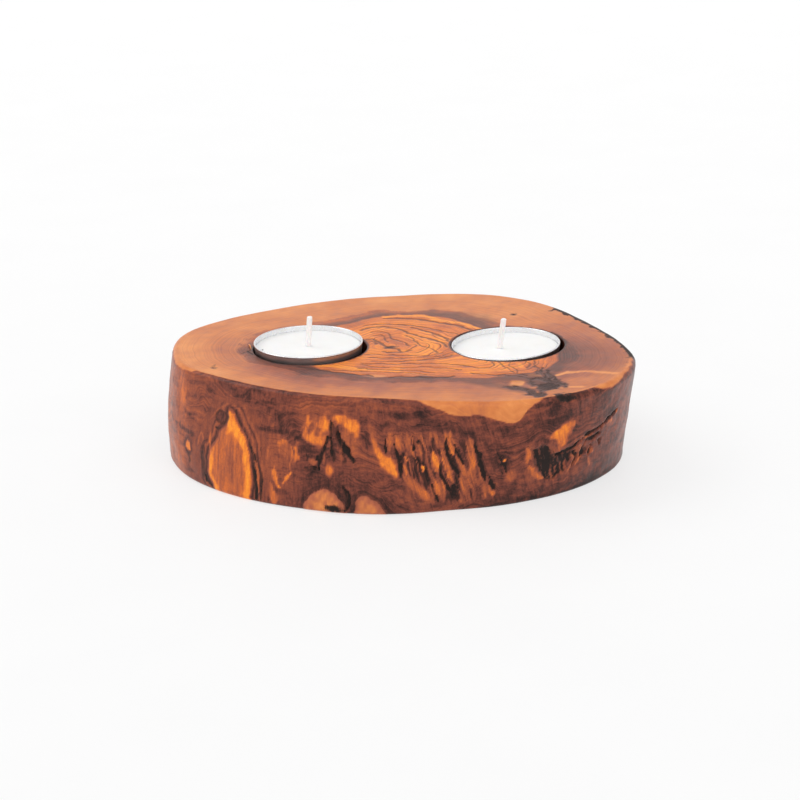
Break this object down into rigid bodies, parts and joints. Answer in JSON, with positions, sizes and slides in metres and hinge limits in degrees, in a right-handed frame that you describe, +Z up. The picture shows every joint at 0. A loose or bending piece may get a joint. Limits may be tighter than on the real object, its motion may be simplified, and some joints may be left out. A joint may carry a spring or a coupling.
{
  "type": "tealight holder",
  "caption": "Live-edge wooden slab with two flat-bottomed bores, each holding a lift-out tealight in an aluminium cup.",
  "frame": {"origin": "on the resting plane, below the middle of the slab's box", "axes": "+X along the slab's longer side, from the left tealight to the right one; +Y to the back; +Z up"},
  "size_m": [0.1637, 0.1299, 0.0505],
  "materials": {
    "slab_wood": "oiled",
    "cup_aluminium": "bright drawn foil",
    "candle_wax": "satin",
    "tab_steel": "tinned",
    "wick_cotton": "waxed"
  },
  "bodies": {
    "slab": {"block": "slab_wood"},
    "left_tealight": {"left_cup": "cup_aluminium"},
    "left_candle": {"left_wax": "candle_wax", "left_wick_tab": "tab_steel", "left_wick": "wick_cotton"},
    "right_tealight": {"right_cup": "cup_aluminium"},
    "right_candle": {"right_wax": "candle_wax", "right_wick_tab": "tab_steel", "right_wick": "wick_cotton"}
  },
  "joints": [
    {"name": "left_tealight_lift", "type": "slide", "parent": "slab", "child": "left_tealight", "axis": [0, 0, 1], "range_m": [0, 0.03]},
    {"name": "left_candle_lift", "type": "slide", "parent": "left_tealight", "child": "left_candle", "axis": [0, 0, 1], "range_m": [0, 0.02]},
    {"name": "right_tealight_lift", "type": "slide", "parent": "slab", "child": "right_tealight", "axis": [-0.0262, 0, 0.9997], "range_m": [0, 0.03]},
    {"name": "right_candle_lift", "type": "slide", "parent": "right_tealight", "child": "right_candle", "axis": [-0.0262, 0, 0.9997], "range_m": [0, 0.02]}
  ]
}
